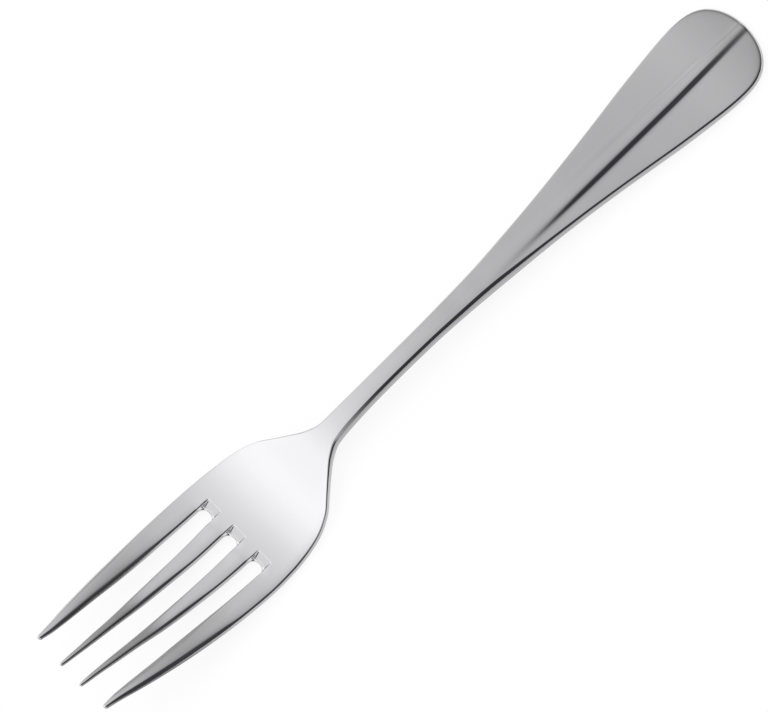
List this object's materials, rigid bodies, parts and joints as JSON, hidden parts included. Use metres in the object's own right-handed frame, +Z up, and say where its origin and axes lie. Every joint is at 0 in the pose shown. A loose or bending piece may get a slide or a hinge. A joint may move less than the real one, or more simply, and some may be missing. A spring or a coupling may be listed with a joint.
{
  "type": "table fork",
  "caption": "Table fork in polished steel with slim tines, a dished palm, a narrow neck and a broad round-ended handle that has a soft raised rib along the middle.",
  "frame": {"origin": "on the table plane, under the middle of the fork's length and width", "axes": "+X runs along the fork from the tines to the handle, +Y across it, +Z up from the table the fork lies on"},
  "size_m": [0.2, 0.0302, 0.0161],
  "materials": {
    "steel": "polished stainless steel with very fine lengthwise brushing"
  },
  "bodies": {
    "root": {"fork": "steel"}
  },
  "joints": []
}
